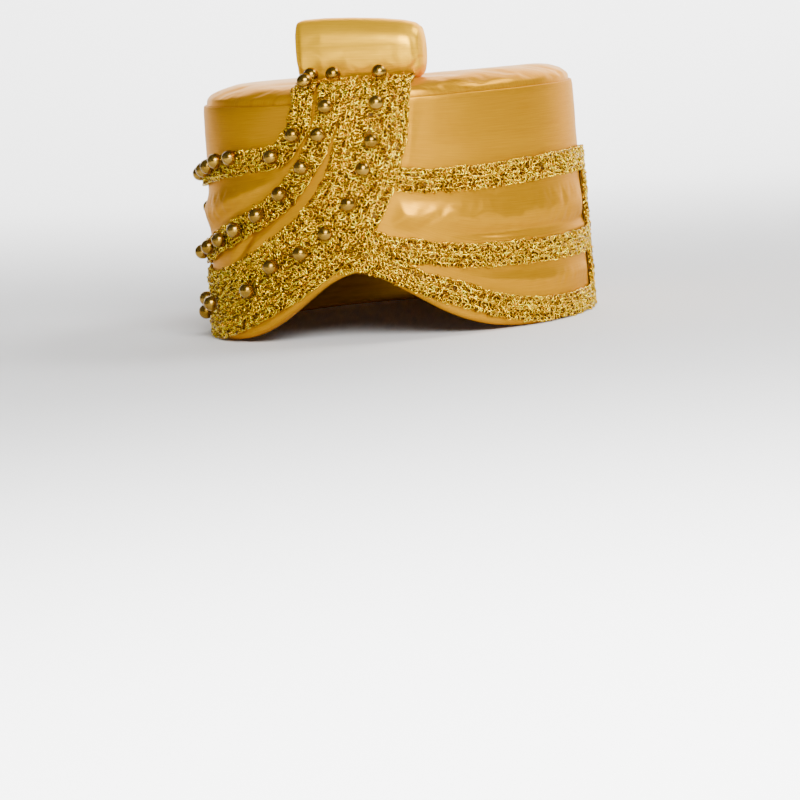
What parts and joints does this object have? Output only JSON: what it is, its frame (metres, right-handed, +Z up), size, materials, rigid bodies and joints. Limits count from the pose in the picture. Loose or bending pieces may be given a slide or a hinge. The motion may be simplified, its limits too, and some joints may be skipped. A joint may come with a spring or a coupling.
{
  "type": "turban",
  "caption": "Padded gold satin costume turban with an arched hem, a cushioned top, a stuffed topknot, draped metallic braid and round brass beads.",
  "frame": {"origin": "middle of the footprint, on the plane that the hem rests on", "axes": "+Z up through the crown, -Y to the front with the topknot and the arch, +X to the wearer's left"},
  "size_m": [0.2014, 0.2236, 0.1558],
  "materials": {
    "satin": "amber gold satin with a soft sheen, padded",
    "gold_braid": "looped metallic gold yarn, bright and dark by turns",
    "brass": "polished antique brass"
  },
  "bodies": {
    "root": {"crown_wall": "satin", "crown_top": "satin", "topknot": "satin", "braid_centre": "gold_braid", "braid_inner": "gold_braid", "braid_hem_left": "gold_braid", "braid_middle_left": "gold_braid", "braid_upper_left": "gold_braid", "braid_upper_right": "gold_braid", "braid_middle_right": "gold_braid", "braid_lower_right": "gold_braid", "braid_side_left": "gold_braid", "braid_side_right": "gold_braid", "dome_upper_left_1": "brass", "dome_upper_left_2": "brass", "dome_upper_left_3": "brass", "dome_upper_left_4": "brass", "dome_upper_left_5": "brass", "dome_upper_left_6": "brass", "dome_upper_left_7": "brass", "dome_upper_left_8": "brass", "dome_upper_left_9": "brass", "dome_middle_left_1": "brass", "dome_middle_left_2": "brass", "dome_middle_left_3": "brass", "dome_middle_left_4": "brass", "dome_middle_left_5": "brass", "dome_middle_left_6": "brass", "dome_middle_left_7": "brass", "dome_middle_left_8": "brass", "dome_middle_left_9": "brass", "dome_middle_left_10": "brass", "dome_middle_left_11": "brass", "dome_centre_1": "brass", "dome_centre_2": "brass", "dome_centre_3": "brass", "dome_centre_4": "brass", "dome_centre_5": "brass", "dome_centre_6": "brass", "dome_centre_7": "brass", "dome_centre_8": "brass", "dome_centre_9": "brass", "dome_centre_10": "brass", "dome_centre_11": "brass", "dome_centre_12": "brass", "dome_side_left_1": "brass", "dome_side_left_2": "brass"}
  },
  "joints": []
}
